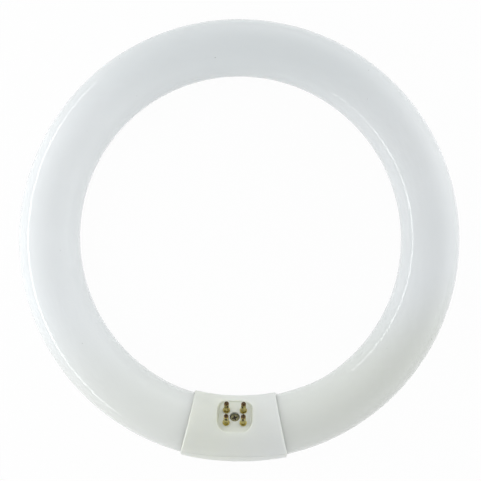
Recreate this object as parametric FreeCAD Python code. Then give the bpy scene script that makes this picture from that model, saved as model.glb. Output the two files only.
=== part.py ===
import FreeCAD, Part
import math
import os

Vector = FreeCAD.Vector

# Circular fluorescent tube, in millimetres and degrees. The ring lies flat, centred on the
# origin, with +Z along its axis on the pin side and the base at -Y.

# Glass ring
ring_diameter = 209.6      # outside of the ring
tube_diameter = 28.6
glass_gap = 22.0           # between the two glass ends, hidden in the base
glass_shoulder = 3.0       # rounding at each end of the tube
stem_rim = 1.1             # flat ring between the shoulder and the stem's opening
stem_neck = 11.0           # where the stem is pinched on its leads
stem_funnel = 8.4          # taper from the mouth to the neck
stem_depth = 14.0
stem_lip = 0.9             # rounding of the stem's opening
exhaust_diameter = 4.4
exhaust_length = 8.0
exhaust_taper = 3.3        # drawn-out tip
exhaust_nib = 1.1
lead_spread = 6.0          # between the two leads of a stem
lead_hold = 2.5            # length of lead held in the glass

# Base, two moulded halves round the glass ends
base_bend = 105.0          # bend radius of its centre line, a little straighter than the ring
base_shift = 0.3           # its middle stands this far in from the tube's centre line
base_length = 45.2         # straight between the centres of its end faces
end_turn = 11.4            # between each end face and the middle of the base
glass_room = 0.4           # between the tube and the inside of the wall
shell_wall = 0.8
end_draft = 2.4
end_round = 0.75
grip_width = 2.2           # collar at each end that follows the glass
grip_clearance = 0.15
pin_tilt = 35.0            # the pins lean in towards the ring's centre
part_height = 1.9          # parting plane above the base's centre line, along the pins
seam_width = 0.3           # groove along the parting line
seam_depth = 0.2
rib_thickness = 1.0        # ribs that stop the glass ends
rib_height = 4.25
rib_clearance = 0.3
tongue_length = 14.0       # tongues that line the two halves up
tongue_height = 1.6
tongue_root = 1.5
tongue_thickness = 0.8
tongue_clearance = 0.1

# Pocket round the pins
pocket_width = 16.4        # along the base, at the crest
pocket_edge = 0.52         # depth left at its two long sides
pocket_corner = 5.0
pocket_depth = 2.9         # from the crest to the floor
pocket_draft = 12.0
pocket_wall = 1.0
pocket_round = 0.5
floor_thickness = 1.3

# Contact pins
pin_pitch_along = 7.94
pin_pitch_across = 6.35
pin_diameter = 2.35
pin_wall = 0.3
pin_length = 7.9           # above the pocket's floor
pin_tip_hole = 0.8
pin_clearance = 0.02
collar_diameter = 3.35
collar_height = 0.65
collar_round = 0.15
rivet_diameter = 3.0       # rim turned over under the floor
rivet_height = 0.3
crimp_height = 5.6         # middle of the dimple above the floor
crimp_length = 2.5
crimp_width = 1.1
crimp_clearance = 0.05     # between the pinched wall and the lead
crimp_turns = (-58.0, -122.0, -90.0, -98.0)

# Leads from the stems to the pins
lead_diameter = 0.6
lead_clearance = 0.02
lead_straight = 4.0        # straight stretch beyond the glass
lead_ease = 0.45           # share of the shorter run that an arc may use

# Screw that closes the base
screw_head = 4.4
screw_head_height = 1.5
screw_head_round = 0.5
screw_sink = 1.1           # head's top below the pocket's floor
screw_core = 2.0
screw_length = 18.0        # under the head
screw_point = 1.2
screw_point_end = 0.5
screw_fit = 0.02
screw_room = 0.25          # round the shank in the front half
cross_length = 2.6
cross_width = 0.6
cross_depth = 0.9
cross_turn = 20.0
sink_clearance = 0.2       # round the head
boss_wall = 0.7
boss_floor = 1.1           # under the head
boss_diameter = 5.0
boss_gap = 0.1             # between the two bosses, so that the rims close first

# What follows from those sizes
tube_radius = tube_diameter / 2
ring_bend = ring_diameter / 2 - tube_radius
stem_mouth = tube_diameter - 2 * (glass_shoulder + stem_rim + stem_lip)
base_radius = tube_radius + glass_room + shell_wall
base_line = ring_bend - base_shift
base_axis_y = base_bend - base_line
base_half = math.degrees(math.asin(base_length / 2 / base_bend))
grip_half = base_half - math.degrees(grip_width / base_bend)
glass_half = math.degrees(math.asin(glass_gap / 2 / ring_bend))
floor_level = base_radius - pocket_depth
floor_under = floor_level - floor_thickness
pocket_span = 2 * math.sqrt(base_radius ** 2 - (floor_level + pocket_edge) ** 2)
pin_radius = pin_diameter / 2
head_top = floor_level - screw_sink
head_seat = head_top - screw_head_height
sink_radius = screw_head / 2 + sink_clearance
reach = ring_diameter / 2  # larger than the base, for cutting blocks
up = Vector(0, 0, 1)
margin = 1.0               # how far cutters run past what they cut
near_enough = 1e-4         # two radii that differ by less are the same

base_centre = Vector(0, -base_line, 0)
base_turn = FreeCAD.Rotation(Vector(1, 0, 0), -pin_tilt)
base_frame = FreeCAD.Placement(base_centre, base_turn)
pin_axis = base_turn.multVec(up)
across = base_turn.multVec(Vector(0, 1, 0))


def in_base(shape):
    """Puts a shape drawn round the pin axis into the ring's frame."""
    shape.Placement = base_frame.multiply(shape.Placement)
    return shape


def bent_rod(bend, radius, axis_y, start, end):
    """Round rod bent about a vertical axis at x = 0, with angles from -Y towards +X."""
    centre = Vector(0, axis_y, 0)
    bar = Part.makeTorus(bend, radius, centre, up, 0, 360, end - start)
    bar.rotate(centre, up, start - 90)
    return bar


def rod(radius, bottom, top):
    """Upright round bar on the pin axis."""
    return Part.makeCylinder(radius, top - bottom, Vector(0, 0, bottom))


def rounded_rectangle(width, span, corner, level):
    """Closed wire with round corners, at a level of the pin axis."""
    x = width / 2
    y = span / 2
    edges = []
    for turn in range(4):
        near = FreeCAD.Rotation(up, 90 * turn)
        a, b = (x, y) if turn % 2 == 0 else (y, x)
        line = (Vector(a, corner - b, 0), Vector(a, b - corner, 0))
        bow = corner * math.sqrt(0.5)
        middle = Vector(a - corner + bow, b - corner + bow, 0)
        after = Vector(a - corner, b, 0)
        start, stop, middle, after = [near.multVec(p) + up * level for p in (*line, middle, after)]
        edges.append(Part.makeLine(start, stop))
        edges.append(Part.Arc(stop, middle, after).toShape())
    return Part.Wire(edges)


# Glass

def stem_recess():
    """Hollow of a re-entrant stem, drawn along +Z from the tube's end."""
    mouth = stem_mouth / 2
    neck = stem_neck / 2
    outline = [
        Vector(0, 0, -margin),
        Vector(mouth, 0, -margin),
        Vector(mouth, 0, 0),
        Vector(neck, 0, stem_funnel),
        Vector(neck, 0, stem_depth),
        Vector(0, 0, stem_depth),
        Vector(0, 0, -margin),
    ]
    return Part.Face(Part.makePolygon(outline)).revolve(Vector(), up, 360)


def exhaust_tip():
    """Sealed stub of the exhaust tube, from the bottom of the recess."""
    radius = exhaust_diameter / 2
    near = stem_depth - exhaust_length
    cone = Part.makeCone(exhaust_nib / 2, radius, exhaust_taper, Vector(0, 0, near - exhaust_taper))
    return rod(radius, near, stem_depth + margin).fuse(cone)


def stem_frame(side):
    """Place of a glass end: +Z runs into the tube, +Y runs across the two leads."""
    angle = math.radians(glass_half)
    end = Vector(side * ring_bend * math.sin(angle), -ring_bend * math.cos(angle), 0)
    inward = Vector(side * math.cos(angle), math.sin(angle), 0)
    spread = across - inward * across.dot(inward)
    return FreeCAD.Placement(end, FreeCAD.Rotation(spread.cross(inward), spread, inward, "ZYX"))


def glass_tube():
    """The closed bulb, with its two stems and the sealed exhaust tip."""
    tube = bent_rod(ring_bend, tube_radius, 0, glass_half, 360 - glass_half)
    rims = [e for f in tube.Faces if isinstance(f.Surface, Part.Plane) for e in f.Edges]
    tube = tube.makeFillet(glass_shoulder, rims)
    for side in (-1, 1):
        recess = stem_recess()
        recess.Placement = stem_frame(side)
        tube = tube.cut(recess)
    lips = [e for e in tube.Edges if is_circle(e, stem_mouth / 2)]
    tube = tube.makeFillet(stem_lip, lips)
    tip = exhaust_tip()
    tip.Placement = stem_frame(-1)
    tube = tube.fuse(tip)
    for side in (-1, 1):
        for offset in (-lead_spread / 2, lead_spread / 2):
            hole = rod(lead_diameter / 2 + lead_clearance, stem_depth - margin, stem_depth + lead_hold)
            hole.translate(Vector(0, offset, 0))
            hole.Placement = stem_frame(side).multiply(hole.Placement)
            tube = tube.cut(hole)
    return tube


def is_circle(edge, radius):
    """Whether an edge is a circle of that radius."""
    curve = edge.Curve
    return isinstance(curve, Part.Circle) and abs(curve.Radius - radius) < near_enough


# Base

def end_cutter(side, lean):
    """Block beyond one end face, which leans in from the parting plane."""
    angle = math.radians(base_half)
    end = Vector(side * base_bend * math.sin(angle), base_axis_y - base_bend * math.cos(angle), 0)
    turn = math.radians(end_turn)
    out = Vector(side * math.cos(turn), math.sin(turn), 0)
    rise = (pin_axis - out * pin_axis.dot(out)).normalize()
    short = part_height - pin_axis.dot(end - base_centre)
    pivot = end + rise * (short / pin_axis.dot(rise))
    draft = math.radians(end_draft)
    normal = out * math.cos(draft) + rise * (lean * math.sin(draft))
    line = normal.cross(rise).normalize()
    block = Part.makeBox(reach, reach, reach, Vector(0, -reach / 2, -reach / 2))
    block.Placement = FreeCAD.Placement(pivot, FreeCAD.Rotation(normal, line, normal.cross(line), "XYZ"))
    return block


def base_block(lean):
    """Solid form of the base with rounded ends that lean in on one side."""
    block = bent_rod(base_bend, base_radius, base_axis_y, -base_half - end_draft, base_half + end_draft)
    block = block.cut([end_cutter(-1, lean), end_cutter(1, lean)])
    rims = [e for f in block.Faces if isinstance(f.Surface, Part.Plane) for e in f.Edges]
    return block.makeFillet(end_round, rims)


def half_space(lean):
    """Everything on one side of the parting plane."""
    bottom = part_height if lean > 0 else part_height - reach
    return in_base(Part.makeBox(reach, reach, reach, Vector(-reach / 2, -reach / 2, bottom)))


def seam():
    """Shallow groove round the outside, half of it in each shell."""
    bottom = part_height - seam_width / 2
    slab = in_base(Part.makeBox(reach, reach, seam_width, Vector(-reach / 2, -reach / 2, bottom)))
    return slab.cut(inner_rod(seam_depth, base_half + end_draft))


def inner_rod(inset, half):
    """Bent rod that is a stated distance inside the base's outer form."""
    return bent_rod(base_bend, base_radius - inset, base_axis_y, -half, half)


def rib_end():
    """Angle of the stop ribs' outer faces, just short of the glass ends."""
    inside = (ring_bend - tube_radius) * math.sin(math.radians(glass_half)) - rib_clearance
    return math.degrees(math.asin(inside / (base_bend - tube_radius)))


def stop_ribs():
    """Two rings inside the base that keep the glass ends apart."""
    outer = rib_end()
    inner = outer - math.degrees(rib_thickness / (base_bend - tube_radius))
    hollow = base_bend, base_radius - shell_wall - rib_height, base_axis_y
    full = base_bend, base_radius - shell_wall / 2, base_axis_y
    ribs = []
    for start, end in ((-outer, -inner), (inner, outer)):
        ribs.append(bent_rod(*full, start, end).cut(bent_rod(*hollow, start - margin, end + margin)))
    return ribs


def grip_bores():
    """Way in for the glass through the two end collars."""
    radius = tube_radius + grip_clearance
    outside = (base_bend + radius) * math.sin(math.radians(grip_half)) / (ring_bend + radius)
    start = math.degrees(math.asin(outside))
    past = math.degrees(2 * grip_width / ring_bend)
    inside = math.degrees(grip_clearance / ring_bend)
    span = (start - inside, start + past)
    return [
        bent_rod(ring_bend, radius, 0, *span),
        bent_rod(ring_bend, radius, 0, -span[1], -span[0]),
    ]


def screw_boss(lean):
    """Pillar round the screw, in the front or the rear half."""
    if lean > 0:
        head = rod(sink_radius + boss_wall, head_seat - boss_floor, base_radius)
        shank = rod(boss_diameter / 2, part_height + boss_gap, base_radius)
        return in_base(head.fuse(shank))
    return in_base(rod(boss_diameter / 2, -base_radius, part_height + margin))


def tongue_ring(outer_inset, inner_inset, bottom, top):
    """Short stretches of curved wall just inside the base, on both long sides."""
    half = math.degrees(tongue_length / 2 / base_bend)
    ring = inner_rod(outer_inset, half).cut(inner_rod(inner_inset, half + margin))
    slab = in_base(Part.makeBox(reach, reach, top - bottom, Vector(-reach / 2, -reach / 2, bottom)))
    return ring.common(slab)


def pocket():
    """Drafted recess round the pins."""
    level = base_radius + margin
    slope = math.tan(math.radians(pocket_draft))
    low = -2 * pocket_depth * slope
    high = 2 * margin * slope
    wires = []
    for grow, height in ((low, floor_level), (high, level)):
        corner = pocket_corner + grow / 2
        wires.append(rounded_rectangle(pocket_width + grow, pocket_span + grow, corner, height))
    return in_base(Part.makeLoft(wires, True, True))


def pocket_plate():
    """Thickness kept under the pocket's floor and behind its walls."""
    grow = 2 * pocket_wall
    corner = pocket_corner + pocket_wall
    wire = rounded_rectangle(pocket_width + grow, pocket_span + grow, corner, floor_under)
    return in_base(Part.Face(wire).extrude(up * reach))


def pocket_mouth(shell):
    """Edges where the pocket's walls meet the outer form."""
    limit = pocket_width / 2 + pocket_wall
    edges = []
    for face in shell.Faces:
        outer = isinstance(face.Surface, Part.Toroid)
        if not outer or abs(face.Surface.MinorRadius - base_radius) > near_enough:
            continue
        for edge in face.Edges:
            spot = base_frame.inverse().multVec(edge.CenterOfMass)
            if max(abs(spot.x), abs(spot.y)) < limit:
                edges.append(edge)
    return edges


def pin_places():
    """Centres of the four pins round the pin axis."""
    x = pin_pitch_along / 2
    y = pin_pitch_across / 2
    return [(-x, y), (x, y), (-x, -y), (x, -y)]


def base_front_shell():
    """The half with the pocket, the pins and the screw's seat."""
    hollow = inner_rod(shell_wall, grip_half).cut([pocket_plate(), screw_boss(1), *stop_ribs()])
    shell = base_block(1).common(half_space(1)).cut(hollow)
    shell = shell.cut([*grip_bores(), seam()])
    shell = shell.cut(pocket())
    shell = shell.makeFillet(pocket_round, pocket_mouth(shell))
    holes = []
    for x, y in pin_places():
        hole = rod(pin_radius + pin_clearance, floor_under - margin, base_radius)
        hole.translate(Vector(x, y, 0))
        holes.append(in_base(hole))
    holes.append(in_base(rod(sink_radius, head_seat, base_radius)))
    holes.append(in_base(rod(screw_core / 2 + screw_room, -margin, base_radius)))
    return shell.cut(holes)


def base_rear_shell():
    """The plain half, with the pillar that the screw bites into."""
    inset = shell_wall + tongue_clearance
    root = inset + tongue_thickness + tongue_clearance
    foot = tongue_ring(shell_wall / 2, root, part_height - tongue_root, part_height + margin)
    hollow = inner_rod(shell_wall, grip_half).cut([screw_boss(-1), foot, *stop_ribs()])
    shell = base_block(-1).common(half_space(-1)).cut(hollow)
    shell = shell.cut([*grip_bores(), seam()])
    low = part_height - tongue_root / 2
    tongues = tongue_ring(inset, inset + tongue_thickness, low, part_height + tongue_height)
    pilot = in_base(rod(screw_core / 2 + screw_fit, head_seat - screw_length - margin, base_radius))
    return shell.fuse(tongues).cut(pilot)


def base_screw():
    """Pan-head screw with a cross recess."""
    radius = screw_core / 2
    tip = head_seat - screw_length
    head = rod(screw_head / 2, head_seat, head_top)
    rims = [e for e in head.Edges if is_circle(e, screw_head / 2)]
    top = max(rims, key=lambda e: e.CenterOfMass.z)
    head = head.makeFillet(screw_head_round, [top])
    point = Part.makeCone(screw_point_end / 2, radius, screw_point, Vector(0, 0, tip))
    screw = head.fuse([rod(radius, tip + screw_point, head_seat + margin / 2), point])
    for turn in (0, 90):
        slot = Part.makeBox(cross_length, cross_width, 2 * cross_depth,
                            Vector(-cross_length / 2, -cross_width / 2, head_top - cross_depth))
        slot.rotate(Vector(), up, cross_turn + turn)
        screw = screw.cut(slot)
    return in_base(screw)


# Pins and leads

def crimp(place_angle, grow):
    """Egg-shaped dimple on the side of a pin, larger all round by the stated amount."""
    depth = pin_radius - pin_wall - lead_diameter / 2 - crimp_clearance
    stretch = FreeCAD.Matrix()
    stretch.scale(depth + grow, crimp_width / 2 + grow, crimp_length / 2 + grow)
    egg = Part.makeSphere(1.0).transformGeometry(stretch)
    egg.translate(Vector(pin_radius, 0, floor_level + crimp_height))
    egg.rotate(Vector(), up, place_angle)
    return egg


def contact_pin(x, y, crimp_angle):
    """Hollow pin: collar on the floor, rim turned over under it, dome with a small hole."""
    bore = pin_radius - pin_wall
    dome = floor_level + pin_length - pin_radius
    bottom = floor_under - rivet_height
    body = rod(pin_radius, bottom, dome).fuse([
        rod(rivet_diameter / 2, bottom, floor_under),
        rod(collar_diameter / 2, floor_level, floor_level + collar_height),
    ])
    body = body.removeSplitter()
    rims = [e for e in body.Edges if is_circle(e, collar_diameter / 2)]
    body = body.makeFillet(collar_round, rims)
    body = body.fuse(Part.makeSphere(pin_radius, Vector(0, 0, dome)))
    inside = rod(bore, bottom - margin, dome).fuse(Part.makeSphere(bore, Vector(0, 0, dome)))
    inside = inside.cut(crimp(crimp_angle, pin_wall))
    pin = body.cut([inside, crimp(crimp_angle, 0), rod(pin_tip_hole / 2, dome, dome + 2 * pin_radius)])
    pin.translate(Vector(x, y, 0))
    return in_base(pin)


def eased_path(points):
    """Straight runs joined by arcs as large as the runs allow, with the arcs' radii."""
    edges = []
    radii = []
    here = points[0]
    for before, corner, after in zip(points, points[1:], points[2:]):
        back = (before - corner).normalize()
        ahead = (after - corner).normalize()
        half = (math.pi - back.getAngle(ahead)) / 2
        cut = lead_ease * min((before - corner).Length, (after - corner).Length)
        radius = cut / math.tan(half)
        inward = (back + ahead).normalize()
        middle = corner + inward * (radius / math.cos(half) - radius)
        start = corner + back * cut
        stop = corner + ahead * cut
        edges.append(Part.makeLine(here, start))
        edges.append(Part.Arc(start, middle, stop).toShape())
        radii.append(radius)
        here = stop
    edges.append(Part.makeLine(here, points[-1]))
    return Part.Wire(edges), radii


def lead_wire(x, y):
    """Bare lead from its stem into its pin."""
    side = 1 if x > 0 else -1
    frame = stem_frame(side)
    offset = (1 if y > 0 else -1) * lead_spread / 2
    held = frame.multVec(Vector(0, offset, stem_depth + lead_hold))
    clear = frame.multVec(Vector(0, offset, stem_depth - lead_straight))
    level = base_frame.inverse().multVec(clear).z
    corner = base_frame.multVec(Vector(x, y, level))
    end = base_frame.multVec(Vector(x, y, floor_level + pin_length - pin_radius))
    path, radii = eased_path([held, clear, corner, end])
    ring = Part.Wire(Part.makeCircle(lead_diameter / 2, held, clear - held))
    wire = path.makePipeShell([ring], True, False)
    expected = math.pi * (lead_diameter / 2) ** 2 * path.Length
    print("lead radii", [round(r, 2) for r in radii], "length", round(path.Length, 2),
          "volume share", round(wire.Volume / expected, 4))
    return wire


def build():
    """Makes every piece, by its node's name."""
    parts = {
        "glass_tube": glass_tube(),
        "base_front_shell": base_front_shell(),
        "base_rear_shell": base_rear_shell(),
        "base_screw": base_screw(),
    }
    for number, (x, y) in enumerate(pin_places(), 1):
        parts[f"pin_{number}"] = contact_pin(x, y, crimp_turns[number - 1])
        parts[f"lead_wire_{number}"] = lead_wire(x, y)
    return parts


os.makedirs("parts", exist_ok=True)
for name, shape in build().items():
    shape.exportStep(f"parts/{name}.step")
    print(name, len(shape.Solids), "solid", shape.isValid(), round(shape.Volume, 2))
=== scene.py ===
import bpy
import math
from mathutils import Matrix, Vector, noise


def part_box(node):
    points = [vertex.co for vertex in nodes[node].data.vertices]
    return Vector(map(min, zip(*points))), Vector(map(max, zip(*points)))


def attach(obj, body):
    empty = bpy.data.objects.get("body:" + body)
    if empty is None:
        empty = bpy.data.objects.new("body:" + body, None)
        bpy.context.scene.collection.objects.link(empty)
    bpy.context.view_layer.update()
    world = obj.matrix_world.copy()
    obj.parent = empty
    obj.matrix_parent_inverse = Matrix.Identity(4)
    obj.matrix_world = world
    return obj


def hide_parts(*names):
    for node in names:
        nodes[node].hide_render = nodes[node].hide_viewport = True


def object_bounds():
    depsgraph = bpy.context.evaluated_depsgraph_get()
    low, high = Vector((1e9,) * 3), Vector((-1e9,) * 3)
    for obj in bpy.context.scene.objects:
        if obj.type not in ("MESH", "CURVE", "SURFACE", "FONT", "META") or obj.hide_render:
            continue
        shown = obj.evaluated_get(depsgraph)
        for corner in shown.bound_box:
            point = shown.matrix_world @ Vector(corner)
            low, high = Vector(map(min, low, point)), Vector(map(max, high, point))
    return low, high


# Circular fluorescent tube, lying flat with its pins up. Everything is in metres, and
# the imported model's nodes give the places.
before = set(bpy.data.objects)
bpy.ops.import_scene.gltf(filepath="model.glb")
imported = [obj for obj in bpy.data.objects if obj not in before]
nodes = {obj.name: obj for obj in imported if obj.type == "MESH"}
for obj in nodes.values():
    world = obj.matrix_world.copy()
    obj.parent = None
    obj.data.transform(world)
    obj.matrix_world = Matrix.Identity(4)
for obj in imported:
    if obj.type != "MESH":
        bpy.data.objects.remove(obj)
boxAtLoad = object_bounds()
print("frame loaded:", ", ".join(sorted(nodes)))

mm = 0.001
xAxis = Vector((1, 0, 0))


# Helpers for objects, nodes and materials

def newObject(name, data):
    thing = bpy.data.objects.new(name, data)
    bpy.context.scene.collection.objects.link(thing)
    return thing


def newMeshObject(name, vertices, faces):
    mesh = bpy.data.meshes.new(name)
    mesh.from_pydata(vertices, [], faces)
    mesh.validate()
    return newObject(name, mesh)


def addNode(tree, kind, **settings):
    node = tree.nodes.new(kind)
    for name, value in settings.items():
        setattr(node, name, value)
    return node


def setInputs(node, values):
    for name, value in values.items():
        node.inputs[name].default_value = value


def newGroup(name, inputs, outputs):
    # inputs and outputs are dictionaries of socket names and kinds
    group = bpy.data.node_groups.new(name, "ShaderNodeTree")
    for direction, sockets in (("INPUT", inputs), ("OUTPUT", outputs)):
        for socketName, kind in sockets.items():
            group.interface.new_socket(
                name=socketName, in_out=direction, socket_type=f"NodeSocket{kind}")
    start = addNode(group, "NodeGroupInput")
    end = addNode(group, "NodeGroupOutput")
    return group, start, end


def useGroup(tree, group, values):
    node = addNode(tree, "ShaderNodeGroup", node_tree=group)
    setInputs(node, values)
    return node


def newMaterial(name, shaderValues):
    material = bpy.data.materials.new(name)
    material.use_nodes = True
    shader = material.node_tree.nodes["Principled BSDF"]
    setInputs(shader, shaderValues)
    return material, material.node_tree, shader


def finish(node, material):
    # a CAD node keeps its mesh and gets the better finish in its material slots
    for slot in node.material_slots:
        slot.material = material
    if not node.material_slots:
        node.data.materials.append(material)


# Effects that several finishes share

noiseMiddle = 0.5        # the value that a noise texture swings about
flatPointiness = 0.5     # Geometry's Pointiness where the surface is flat


def addNoise(group, start, scaleInput, detail, roughness):
    # noise that stays with the piece, as fine as one of the group's inputs says
    place = addNode(group, "ShaderNodeTexCoord")
    cloud = addNode(group, "ShaderNodeTexNoise")
    setInputs(cloud, {"Detail": detail, "Roughness": roughness})
    group.links.new(place.outputs["Object"], cloud.inputs["Vector"])
    group.links.new(start.outputs[scaleInput], cloud.inputs["Scale"])
    return cloud.outputs["Fac"]


def patchMask(group, start, detail, roughness):
    # 0 between the patches and 1 in them, with soft edges
    cloud = addNoise(group, start, "Patches per Metre", detail, roughness)
    mask = addNode(group, "ShaderNodeMapRange", interpolation_type="SMOOTHSTEP")
    join = group.links.new
    for operation, limit in (("SUBTRACT", "From Min"), ("ADD", "From Max")):
        edge = addNode(group, "ShaderNodeMath", operation=operation)
        edge.inputs[0].default_value = noiseMiddle
        join(start.outputs["Patch Softness"], edge.inputs[1])
        join(edge.outputs[0], mask.inputs[limit])
    join(cloud, mask.inputs["Value"])
    return mask.outputs["Result"]


def blendOut(group, mask, first, second, end):
    # the group puts out the first colour where the mask is 0 and the second where it is 1
    mix = addNode(group, "ShaderNodeMix", data_type="RGBA")
    join = group.links.new
    join(mask, mix.inputs["Factor"])
    join(first, mix.inputs["A"])
    join(second, mix.inputs["B"])
    join(mix.outputs["Result"], end.inputs["Colour"])


def mottleGroup():
    # soft cloudy patches, as in a coat or a moulding that isn't quite even
    group, start, end = newGroup(
        "mottle",
        {
            "Colour": "Color",
            "Patch Colour": "Color",
            "Patches per Metre": "Float",
            "Patch Softness": "Float",
        },
        {"Colour": "Color"},
    )
    mask = patchMask(group, start, detail=3.0, roughness=0.55)
    blendOut(group, mask, start.outputs["Colour"], start.outputs["Patch Colour"], end)
    return group


def fadeGroup():
    # a colour that changes into another along a line through the piece
    group, start, end = newGroup(
        "fadeAlong",
        {
            "Colour": "Color",
            "Far Colour": "Color",
            "Direction": "Vector",
            "From": "Float",
            "To": "Float",
        },
        {"Colour": "Color"},
    )
    place = addNode(group, "ShaderNodeTexCoord")
    along = addNode(group, "ShaderNodeVectorMath", operation="DOT_PRODUCT")
    mask = addNode(group, "ShaderNodeMapRange", interpolation_type="SMOOTHSTEP")
    join = group.links.new
    join(place.outputs["Object"], along.inputs[0])
    join(start.outputs["Direction"], along.inputs[1])
    join(along.outputs["Value"], mask.inputs["Value"])
    join(start.outputs["From"], mask.inputs["From Min"])
    join(start.outputs["To"], mask.inputs["From Max"])
    blendOut(group, mask.outputs["Result"],
             start.outputs["Colour"], start.outputs["Far Colour"], end)
    return group


def grainGroup():
    # fine surface texture, as a height for a bump and a small change of roughness
    group, start, end = newGroup(
        "fineGrain",
        {"Grains per Metre": "Float", "Roughness": "Float", "Roughness Spread": "Float"},
        {"Height": "Float", "Roughness": "Float"},
    )
    grain = addNoise(group, start, "Grains per Metre", detail=2.0, roughness=0.5)
    centred = addNode(group, "ShaderNodeMath", operation="SUBTRACT")
    centred.inputs[1].default_value = noiseMiddle
    spread = addNode(group, "ShaderNodeMath", operation="MULTIPLY_ADD")
    join = group.links.new
    join(grain, centred.inputs[0])
    join(centred.outputs[0], spread.inputs[0])
    join(start.outputs["Roughness Spread"], spread.inputs[1])
    join(start.outputs["Roughness"], spread.inputs[2])
    join(grain, end.inputs["Height"])
    join(spread.outputs[0], end.inputs["Roughness"])
    return group


def tarnishGroup():
    # dull film in patches and in hollows, rubbed off on the edges
    group, start, end = newGroup(
        "tarnish",
        {
            "Metal": "Color",
            "Film": "Color",
            "Patches per Metre": "Float",
            "Patch Softness": "Float",
            "Hollow Reach": "Float",
            "Amount": "Float",
        },
        {"Colour": "Color"},
    )
    patches = patchMask(group, start, detail=4.0, roughness=0.6)
    shape = addNode(group, "ShaderNodeNewGeometry")
    deep = addNode(group, "ShaderNodeMath", operation="SUBTRACT")
    deep.inputs[0].default_value = flatPointiness
    hollow = addNode(group, "ShaderNodeMapRange")
    setInputs(hollow, {"From Max": flatPointiness, "To Min": 1.0, "To Max": 0.0})
    both = addNode(group, "ShaderNodeMath", operation="MAXIMUM")
    scaled = addNode(group, "ShaderNodeMath", operation="MULTIPLY", use_clamp=True)
    join = group.links.new
    join(start.outputs["Hollow Reach"], deep.inputs[1])
    join(deep.outputs[0], hollow.inputs["From Min"])
    join(shape.outputs["Pointiness"], hollow.inputs["Value"])
    join(hollow.outputs["Result"], both.inputs[0])
    join(patches, both.inputs[1])
    join(both.outputs[0], scaled.inputs[0])
    join(start.outputs["Amount"], scaled.inputs[1])
    blendOut(group, scaled.outputs[0], start.outputs["Metal"], start.outputs["Film"], end)
    return group


mottle = mottleGroup()
fadeAlong = fadeGroup()
fineGrain = grainGroup()
tarnish = tarnishGroup()
print("effects ready")


# What the finishes have in common, each from its own look

def patchyColour(tree, look):
    patches = useGroup(tree, mottle, {
        "Colour": look["colour"],
        "Patch Colour": look["patchColour"],
        "Patches per Metre": look["patchesPerMetre"],
        "Patch Softness": look["patchSoftness"],
    })
    return patches.outputs["Colour"]


def fadedColour(tree, colour, fades):
    # a fade is a far colour, a direction, and from where to where along it
    for farColour, direction, fadeFrom, fadeTo in fades:
        fade = useGroup(tree, fadeAlong, {
            "Far Colour": farColour,
            "Direction": direction,
            "From": fadeFrom,
            "To": fadeTo,
        })
        tree.links.new(colour, fade.inputs["Colour"])
        colour = fade.outputs["Colour"]
    return colour


def addGrain(tree, shader, look):
    # grain in the roughness, and in the relief where the look gives it a depth
    grain = useGroup(tree, fineGrain, {
        "Grains per Metre": look["grainsPerMetre"],
        "Roughness": look["roughness"],
        "Roughness Spread": look["roughnessSpread"],
    })
    join = tree.links.new
    join(grain.outputs["Roughness"], shader.inputs["Roughness"])
    if "grainDepth" in look:
        bump = addNode(tree, "ShaderNodeBump")
        setInputs(bump, {"Strength": look["grainStrength"], "Distance": look["grainDepth"]})
        join(grain.outputs["Height"], bump.inputs["Height"])
        join(bump.outputs["Normal"], shader.inputs["Normal"])


def patchyFinish(name, look):
    material, tree, shader = newMaterial(name, look["shader"])
    colour = fadedColour(tree, patchyColour(tree, look), look["fades"])
    tree.links.new(colour, shader.inputs["Base Color"])
    addGrain(tree, shader, look)
    return material


# Glass ring

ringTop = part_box("glass_tube")[1]
glassRing = {
    "outerRadius": ringTop.x,
    "tubeRadius": ringTop.z,
    "halfGap": 11.0 * mm,        # from the base's middle to a glass end, inside the base
    "shoulder": 3.0 * mm,
    "rim": 1.1 * mm,
    "lip": 0.9 * mm,
    "neckRadius": 5.5 * mm,
    "funnel": 8.4 * mm,
    "stemDepth": 14.0 * mm,
    "stubRadius": 2.2 * mm,      # sealed exhaust tube, at the left end only
    "stubLength": 8.0 * mm,
    "stubTaper": 3.3 * mm,
    "stubNib": 0.55 * mm,
    "thinner": 0.35 * mm,        # how much less than nominal the bent tube is on average
    "swell": ((-0.30 * mm, -0.255 * mm), (0.145 * mm, 0.162 * mm)),  # once and twice round
    "nominalNearBase": (16.0, 34.0),  # degrees from the base where the swell fades in
    "wave": 0.03 * mm,           # slow unevenness of drawn and bent glass
    "wavesPerMetre": 28.0,
    "stations": 320,
    "sides": 72,
    "arcSteps": 8,               # in each round of the ends
    "funnelSteps": 6,
}


def smoothStep(value, low, high):
    t = min(max((value - low) / (high - low), 0.0), 1.0)
    return t * t * (3 - 2 * t)


def tubeRadiusAt(angle):
    # angle in radians from +X, counter-clockwise from above; the base is at -90 degrees
    fromBase = abs((math.degrees(angle) + 90 + 180) % 360 - 180)
    fade = smoothStep(fromBase, *glassRing["nominalNearBase"])
    change = -glassRing["thinner"]
    for turns, (cosine, sine) in enumerate(glassRing["swell"], 1):
        change += cosine * math.cos(turns * angle) + sine * math.sin(turns * angle)
    return glassRing["tubeRadius"] + fade * change


def glassPoint(angle, around, radius):
    # a point at a radius from the tube's own centre line, which shifts with the tube's
    # thickness so that the ring's outside stays round
    line = glassRing["outerRadius"] - tubeRadiusAt(angle)
    out = Vector((math.cos(angle), math.sin(angle), 0))
    return out * (line + radius * math.cos(around)) + Vector((0, 0, radius * math.sin(around)))


def quarterTurn(steps):
    # the sine, and 1 less the cosine, of even steps from 0 to 90 degrees
    for step in range(steps + 1):
        turn = math.pi / 2 * step / steps
        yield math.sin(turn), 1 - math.cos(turn)


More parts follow.
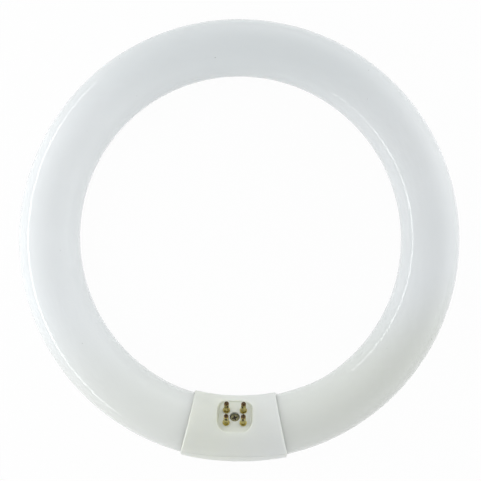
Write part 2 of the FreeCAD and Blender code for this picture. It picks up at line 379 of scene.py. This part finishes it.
def endProfile(withStub):
    # from the full tube to the middle of the stem, as (depth into the tube, radius) pairs
    g = glassRing
    full = g["tubeRadius"]
    rim = full - g["shoulder"] - g["rim"]
    mouth = rim - g["lip"]
    points = []
    for sine, rise in quarterTurn(g["arcSteps"]):
        points.append((g["shoulder"] * (1 - sine), full - g["shoulder"] * rise))
    for sine, rise in quarterTurn(g["arcSteps"]):
        points.append((g["lip"] * rise, rim - g["lip"] * sine))
    for step in range(1, g["funnelSteps"] + 1):
        share = step / g["funnelSteps"]
        depth = g["lip"] + (g["funnel"] - g["lip"]) * share
        points.append((depth, mouth + (g["neckRadius"] - mouth) * share))
    points.append((g["stemDepth"], g["neckRadius"]))
    if withStub:
        stubEnd = g["stemDepth"] - g["stubLength"]
        points.append((g["stemDepth"], g["stubRadius"]))
        points.append((stubEnd, g["stubRadius"]))
        points.append((stubEnd - g["stubTaper"], g["stubNib"]))
    return points


def ringStations():
    # (angle, radius) of each row round the tube; the radius is None where the tube's own holds
    g = glassRing
    bend = g["outerRadius"] - g["tubeRadius"]
    halfAngle = math.asin(g["halfGap"] / bend)
    first = -math.pi / 2 + halfAngle
    last = -math.pi / 2 + 2 * math.pi - halfAngle
    inset = g["shoulder"] / bend
    for depth, radius in reversed(endProfile(False)):
        yield first + depth / bend, radius
    for step in range(1, g["stations"]):
        yield first + inset + (last - first - 2 * inset) * step / g["stations"], None
    for depth, radius in endProfile(True):
        yield last - depth / bend, radius


def makeGlassRing():
    g = glassRing
    sides = g["sides"]
    rows = list(ringStations())
    vertices = []
    for angle, radius in rows:
        for side in range(sides):
            around = 2 * math.pi * side / sides
            if radius is None:
                spot = glassPoint(angle, around, tubeRadiusAt(angle))
                swing = noise.noise(spot * g["wavesPerMetre"])
                inward = (glassPoint(angle, around, 0) - spot).normalized()
                spot = spot + inward * g["wave"] * (0.5 + 0.5 * swing)
            else:
                spot = glassPoint(angle, around, radius)
            vertices.append(spot)
    faces = []
    for row in range(len(rows) - 1):
        here = row * sides
        beyond = here + sides
        for side in range(sides):
            after = (side + 1) % sides
            faces.append((here + side, beyond + side, beyond + after, here + after))
    for row, reverse in ((0, False), (len(rows) - 1, True)):
        middle = len(vertices)
        vertices.append(glassPoint(rows[row][0], 0, 0))
        for side in range(sides):
            here = row * sides + side
            after = row * sides + (side + 1) % sides
            faces.append((here, middle, after) if reverse else (after, middle, here))
    piece = newMeshObject("glassRing", vertices, faces)
    piece.data.shade_smooth()
    return piece


milkyGlassLook = {
    "shader": {
        "Specular IOR Level": 0.25,
        "Coat Weight": 0.75,
        "Coat Roughness": 0.035,
        "Coat IOR": 1.5,
        "Coat Tint": (0.97, 0.985, 0.985, 1),
        "Subsurface Weight": 0.9,
        "Subsurface Radius": (1.0, 1.0, 1.0),
        "Subsurface Scale": 8.0 * mm,
    },
    "colour": (0.866, 0.886, 0.898, 1),
    "patchColour": (0.842, 0.860, 0.870, 1),
    "patchesPerMetre": 26.0,
    "patchSoftness": 0.22,
    "fades": (
        ((0.82, 0.835, 0.805, 1), (0, 1, 0), -0.030, -0.090),         # painted shade: darker and greener towards the base
        ((0.775, 0.79, 0.75, 1), (-0.5, 0.866, 0), -0.055, -0.092),   # painted shade: darker right of the base, on the lower right
        ((0.785, 0.81, 0.82, 1), (0, 1, 0), 0.045, 0.095),            # painted shade: darker opposite the base
    ),
    "grainsPerMetre": 900.0,
    "roughness": 0.5,
    "roughnessSpread": 0.1,
}

ring = makeGlassRing()
ring.data.materials.append(patchyFinish("milkyGlass", milkyGlassLook))
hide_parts("glass_tube")
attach(ring, "root")
print("glass ring:", len(ring.data.vertices), "points")


# Moulded base

basePlasticLook = {
    "shader": {
        "IOR": 1.49,
        "Specular IOR Level": 0.5,
        "Subsurface Weight": 0.7,
        "Subsurface Radius": (1.0, 0.98, 0.90),
        "Subsurface Scale": 1.6 * mm,
    },
    "colour": (0.845, 0.88, 0.785, 1),
    "patchColour": (0.83, 0.865, 0.77, 1),
    "patchesPerMetre": 90.0,
    "patchSoftness": 0.2,
    "fades": (
        ((0.865, 0.90, 0.855, 1), (1, 0, 0), -0.012, 0.024),  # painted shade: yellower on the left, paler and cooler towards the right
    ),
    "grainsPerMetre": 2600.0,
    "roughness": 0.36,
    "roughnessSpread": 0.12,
    "grainStrength": 0.6,
    "grainDepth": 0.012 * mm,
}

plastic = patchyFinish("basePlastic", basePlasticLook)
for shell in ("base_front_shell", "base_rear_shell"):
    finish(nodes[shell], plastic)
print("base shells finished")


# Pins, screw and leads

pinGroup = {
    "lean": math.radians(35.0),  # the pins lean in towards the ring's centre
    "middle": -90.2 * mm,        # of the base, along Y
    "floor": 12.6 * mm,          # the pocket's floor, along the pins
    "pitch": (7.94 * mm, 6.35 * mm),
    "pinRadius": 1.175 * mm,
    "pinLength": 7.9 * mm,
    "tipDarkReflection": (1.3 * mm, 0.5 * mm),        # below the tip, where the painted dark reflection begins and is full
    "headTop": 11.5 * mm,        # the screw's head, along the pins
    "headShade": (0.15 * mm, 0.45 * mm),     # below the head's top, where the painted shade begins and is full
    "crimpHeight": 5.6 * mm,     # above the pocket's floor
    "crimpTurns": (-58.0, -122.0, -90.0, -98.0),     # where each pin's crimp faces, from +X
    "crimpShadeDepth": 0.14 * mm,      # of its middle, under the pin's surface
    "crimpShadeSizes": (1.15 * mm, 0.5 * mm, 0.12 * mm),   # half sizes of the painted shade in a crimp
    "crossTurn": 20.0,           # degrees from +X
    "crossDepth": 0.02 * mm,     # of the painted shade's middle, under the head's top
    "crossSizes": (1.6 * mm, 0.45 * mm, 0.05 * mm),  # half sizes of the painted shade in an arm
}
pinNumbers = range(1, len(pinGroup["crimpTurns"]) + 1)
pinAxis = Vector((0, math.sin(pinGroup["lean"]), math.cos(pinGroup["lean"])))
pinAcross = Vector((0, math.cos(pinGroup["lean"]), -math.sin(pinGroup["lean"])))


def alongPins(level):
    # a level in the base, measured along the pins from the ring's centre
    return level + pinGroup["middle"] * pinAxis.y


def darkenBelow(level, depths, colour):
    # a fade into a dark colour that begins and is full at two depths below a level in the base;
    # it paints a dark reflection on the pin tips and shade round the screw head
    begins, full = (alongPins(level) - depth for depth in depths)
    return colour, pinAxis, begins, full


metalSurface = {
    "grainsPerPatch": 5.0,
    "grainStrength": 0.4,
    "grainDepth": 0.01 * mm,
    "patchSoftness": 0.15,
    "hollowReach": 0.12,
}
metals = {
    "pinBrass": {
        "metal": (0.80, 0.70, 0.24, 1),
        "film": (0.10, 0.062, 0.015, 1),
        "patchesPerMetre": 900.0,
        "amount": 0.8,
        "roughness": 0.26,
        "roughnessSpread": 0.16,
        "fades": (               # painted dark reflection of the sky overhead on the domed tips
            darkenBelow(pinGroup["floor"] + pinGroup["pinLength"], pinGroup["tipDarkReflection"],
                      (0.14, 0.09, 0.045, 1)),
        ),
    },
    "screwSteel": {
        "metal": (0.33, 0.31, 0.17, 1),
        "film": (0.04, 0.035, 0.02, 1),
        "patchesPerMetre": 900.0,
        "amount": 0.6,
        "roughness": 0.3,
        "roughnessSpread": 0.15,
        "fades": (               # painted shade in the cross and round the head
            darkenBelow(pinGroup["headTop"], pinGroup["headShade"], (0.010, 0.008, 0.006, 1)),
        ),
    },
    "leadNickel": {
        "metal": (0.56, 0.53, 0.47, 1),
        "film": (0.3, 0.28, 0.25, 1),
        "patchesPerMetre": 400.0,
        "amount": 0.3,
        "roughness": 0.38,
        "roughnessSpread": 0.1,
        "fades": (),
    },
}


def metalFinish(name):
    look = {**metalSurface, **metals[name]}
    look["grainsPerMetre"] = look["grainsPerPatch"] * look["patchesPerMetre"]
    material, tree, shader = newMaterial(name, {"Metallic": 1.0})
    film = useGroup(tree, tarnish, {
        "Metal": look["metal"],
        "Film": look["film"],
        "Patches per Metre": look["patchesPerMetre"],
        "Patch Softness": look["patchSoftness"],
        "Hollow Reach": look["hollowReach"],
        "Amount": look["amount"],
    })
    colour = fadedColour(tree, film.outputs["Colour"], look["fades"])
    tree.links.new(colour, shader.inputs["Base Color"])
    addGrain(tree, shader, look)
    return material


brass = metalFinish("pinBrass")
nickel = metalFinish("leadNickel")
finish(nodes["base_screw"], metalFinish("screwSteel"))
for number in pinNumbers:
    finish(nodes[f"pin_{number}"], brass)
    finish(nodes[f"lead_wire_{number}"], nickel)
print("pins, screw and leads finished")


# Specks in the glass coat, and painted shade in the crimps and in the cross, each a thin closed
# dab

specks = {
    # degrees round the ring from +X, degrees round the tube from its outermost line, radius
    "places": (
        (99, 116, 0.16 * mm), (127, 130, 0.10 * mm), (146, 107, 0.09 * mm), (125, 40, 0.17 * mm),
        (54, 53, 0.14 * mm), (49, 102, 0.09 * mm), (215, 102, 0.11 * mm), (185, 119, 0.09 * mm),
        (334, 39, 0.21 * mm), (325, 114, 0.09 * mm),
    ),
    "thickness": 0.02 * mm,
    "colour": (0.06, 0.055, 0.05, 1),
}
dabs = {
    "rows": 6,
    "steps": 14,
    "shader": {"Specular IOR Level": 0.3},
    # colour of the dark dabs that paint shade in the crimps and in the cross
    "shadeColour": (0.012, 0.007, 0.004, 1),
    "patchPaler": 1.6,           # times the dab's colour
    "patchesPerMetre": 1500.0,
    "patchSoftness": 0.2,
}


def addDab(vertices, faces, spot, normal, along, halfSizes):
    length, width, thickness = halfSizes
    side = normal.cross(along)
    rows, steps = dabs["rows"], dabs["steps"]
    first = len(vertices)
    vertices.append(spot + normal * thickness)
    for row in range(1, rows):
        tilt = math.pi * row / rows
        for step in range(steps):
            turn = 2 * math.pi * step / steps
            flat = along * length * math.cos(turn) + side * width * math.sin(turn)
            vertices.append(spot + flat * math.sin(tilt) + normal * thickness * math.cos(tilt))
    vertices.append(spot - normal * thickness)
    last = len(vertices) - 1
    for step in range(steps):
        after = (step + 1) % steps
        faces.append((first, first + 1 + step, first + 1 + after))
        for row in range(rows - 2):
            here = first + 1 + row * steps
            below = here + steps
            faces.append((here + step, below + step, below + after, here + after))
        faces.append((last, last - steps + after, last - steps + step))


def makeDabs(name, places, colour):
    vertices = []
    faces = []
    for place in places:
        addDab(vertices, faces, *place)
    piece = newMeshObject(name, vertices, faces)
    piece.data.shade_smooth()
    material, tree, shader = newMaterial(name, dabs["shader"])
    paler = [dabs["patchPaler"] * share for share in colour[:3]] + [1]
    patches = patchyColour(tree, {**dabs, "colour": colour, "patchColour": paler})
    tree.links.new(patches, shader.inputs["Base Color"])
    piece.data.materials.append(material)
    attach(piece, "root")


def insideBase(x, across, level):
    # x, then the way across the pins, then the level along them
    return Vector((x, pinGroup["middle"], 0)) + pinAcross * across + pinAxis * level


def squareToPins(degrees):
    # a direction across the pins, in degrees from +X
    turn = math.radians(degrees)
    return xAxis * math.cos(turn) + pinAcross * math.sin(turn)


def speckPlaces():
    for ringTurn, tubeTurn, radius in specks["places"]:
        angle = math.radians(ringTurn)
        around = math.radians(tubeTurn)
        spot = glassPoint(angle, around, tubeRadiusAt(angle) - glassRing["wave"] / 2)
        normal = (spot - glassPoint(angle, around, 0)).normalized()
        along = Vector((-math.sin(angle), math.cos(angle), 0))
        yield spot, normal, along, (radius, radius, specks["thickness"])


# dark dabs that paint the shade in each pin's crimp
def crimpPlaces():
    halfX, halfAcross = (pitch / 2 for pitch in pinGroup["pitch"])
    corners = [(-1, 1), (1, 1), (-1, -1), (1, -1)]
    for (x, across), degrees in zip(corners, pinGroup["crimpTurns"]):
        normal = squareToPins(degrees)
        level = pinGroup["floor"] + pinGroup["crimpHeight"]
        spot = insideBase(x * halfX, across * halfAcross, level)
        spot += normal * (pinGroup["pinRadius"] - pinGroup["crimpShadeDepth"])
        yield spot, normal, pinAxis, pinGroup["crimpShadeSizes"]


def crossPlaces():
    spot = insideBase(0, 0, pinGroup["headTop"] - pinGroup["crossDepth"])
    for degrees in (pinGroup["crossTurn"], pinGroup["crossTurn"] + 90):
        yield spot, pinAxis, squareToPins(degrees), pinGroup["crossSizes"]


makeDabs("coatSpecks", speckPlaces(), specks["colour"])
makeDabs("crimpShade", crimpPlaces(), dabs["shadeColour"])
makeDabs("crossShade", crossPlaces(), dabs["shadeColour"])
# the flux and dirt that this prints are painted shade in the crimps and in the cross
print("specks, flux and dirt added")


# Floor, world, lamps and camera

studio = {
    "floorSide": 14.0,
    "floorColour": (0.93, 0.935, 0.94, 1),
    "floorOwnWhite": 0.96,       # share of plain white that the eye and reflections see
    "horizon": (1.30, 1.30, 1.30, 1),
    "horizonAway": (0.25, 0.25, 0.25, 1),
    "awaySide": (-0.961, -0.275, 0.0),
    "awayFrom": -0.6,            # where that side begins, as a cosine of the angle to it
    "awayTo": 0.9,               # and where it is full
    "zenith": (0.565, 0.57, 0.575, 1),
    "skyFrom": 0.0,              # where the zenith's grey begins, as a sine of the height
    "skyTo": 0.9,                # and where it is full
}


def makeFloor():
    half = studio["floorSide"] / 2
    level = boxAtLoad[0].z
    corners = [(half * x, half * y, level) for x, y in ((-1, -1), (1, -1), (1, 1), (-1, 1))]
    floor = newMeshObject("floor", corners, [(0, 1, 2, 3)])
    material = bpy.data.materials.new("paleFloor")
    material.use_nodes = True
    tree = material.node_tree
    tree.nodes.clear()
    rays = addNode(tree, "ShaderNodeLightPath")
    seen = addNode(tree, "ShaderNodeMath", operation="ADD")
    seenToo = addNode(tree, "ShaderNodeMath", operation="ADD", use_clamp=True)
    share = addNode(tree, "ShaderNodeMath", operation="MULTIPLY")
    share.inputs[1].default_value = studio["floorOwnWhite"]
    paint = addNode(tree, "ShaderNodeBsdfDiffuse")
    paint.inputs["Color"].default_value = studio["floorColour"]
    white = addNode(tree, "ShaderNodeEmission")
    mix = addNode(tree, "ShaderNodeMixShader")
    end = addNode(tree, "ShaderNodeOutputMaterial")
    join = tree.links.new
    join(rays.outputs["Is Camera Ray"], seen.inputs[0])
    join(rays.outputs["Is Glossy Ray"], seen.inputs[1])
    join(seen.outputs[0], seenToo.inputs[0])
    join(rays.outputs["Is Transmission Ray"], seenToo.inputs[1])
    join(seenToo.outputs[0], share.inputs[0])
    join(share.outputs[0], mix.inputs["Fac"])
    join(paint.outputs[0], mix.inputs[1])
    join(white.outputs[0], mix.inputs[2])
    join(mix.outputs[0], end.inputs["Surface"])
    floor.data.materials.append(material)


def makeWorld():
    # pale all round and greyer overhead and on the away side, as in a light tent
    world = bpy.data.worlds.new("lightTent")
    bpy.context.scene.world = world
    world.use_nodes = True
    tree = world.node_tree
    background = tree.nodes["Background"]
    place = addNode(tree, "ShaderNodeTexCoord")
    split = addNode(tree, "ShaderNodeSeparateXYZ")
    height = addNode(tree, "ShaderNodeMapRange", interpolation_type="SMOOTHSTEP")
    setInputs(height, {"From Min": studio["skyFrom"], "From Max": studio["skyTo"]})
    along = addNode(tree, "ShaderNodeVectorMath", operation="DOT_PRODUCT")
    along.inputs[1].default_value = studio["awaySide"]
    away = addNode(tree, "ShaderNodeMapRange", interpolation_type="SMOOTHSTEP")
    setInputs(away, {"From Min": studio["awayFrom"], "From Max": studio["awayTo"]})
    sides = addNode(tree, "ShaderNodeMix", data_type="RGBA")
    setInputs(sides, {"A": studio["horizon"], "B": studio["horizonAway"]})
    sky = addNode(tree, "ShaderNodeMix", data_type="RGBA")
    setInputs(sky, {"B": studio["zenith"]})
    join = tree.links.new
    join(place.outputs["Generated"], split.inputs[0])
    join(place.outputs["Generated"], along.inputs[0])
    join(along.outputs["Value"], away.inputs["Value"])
    join(away.outputs["Result"], sides.inputs["Factor"])
    join(sides.outputs["Result"], sky.inputs["A"])
    join(split.outputs["Z"], height.inputs["Value"])
    join(height.outputs["Result"], sky.inputs["Factor"])
    join(sky.outputs["Result"], background.inputs["Color"])


lamps = {
    # only the strip shows in the glass; the boxes just light it
    "leftStrip": {"place": (-0.60, -0.05, 0.11), "size": (1.6, 0.08),
                  "level": 5.1, "mirrored": True},
    "leftBox": {"place": (-0.42, -0.05, 0.15), "size": (0.6, 0.18),
                "level": 0.2, "mirrored": False},
    "nearLeftBox": {"place": (-0.21, -0.03, 0.20), "size": (0.24, 0.18),
                    "level": 0.7, "mirrored": False},
    "topLeftBox": {"place": (-0.24, 0.0, 0.38), "size": (0.5, 0.5),
                   "level": 0.18, "mirrored": False},
    "upperRightBox": {"place": (0.41, 0.29, 0.20), "size": (0.5, 0.2),
                      "level": 0.88, "mirrored": False},
}


def makeLamp(name, lamp):
    # level is the lamp's brightness as seen, where 1 is white
    light = bpy.data.lights.new(name, "AREA")
    light.shape = "RECTANGLE"
    light.size, light.size_y = lamp["size"]
    light.energy = lamp["level"] * math.pi * light.size * light.size_y
    holder = newObject(name, light)
    holder.visible_camera = False
    holder.visible_glossy = lamp["mirrored"]
    holder.location = lamp["place"]
    towardsRing = -Vector(lamp["place"])
    holder.rotation_euler = towardsRing.to_track_quat("-Z", "Y").to_euler()


cameraView = {
    "height": 0.5,               # above the ring's middle plane
    "halfFieldTan": 0.2295,      # tangent of half the angle of view
    "offCentre": (0.6 * mm, -0.6 * mm),
    "roll": 1.45,                # degrees
    "nearest": 10.0 * mm,        # what lies closer to the camera isn't drawn
}


def makeCamera():
    view = cameraView
    data = bpy.data.cameras.new("camera")
    data.angle = 2 * math.atan(view["halfFieldTan"])
    data.clip_start = view["nearest"]
    camera = newObject("camera", data)
    camera.location = (*view["offCentre"], view["height"])
    camera.rotation_euler = (0, 0, math.radians(view["roll"]))
    bpy.context.scene.camera = camera


makeFloor()
makeWorld()
for name, lamp in lamps.items():
    makeLamp(name, lamp)
makeCamera()
bpy.context.scene.view_settings.view_transform = "Standard"
print("studio ready")
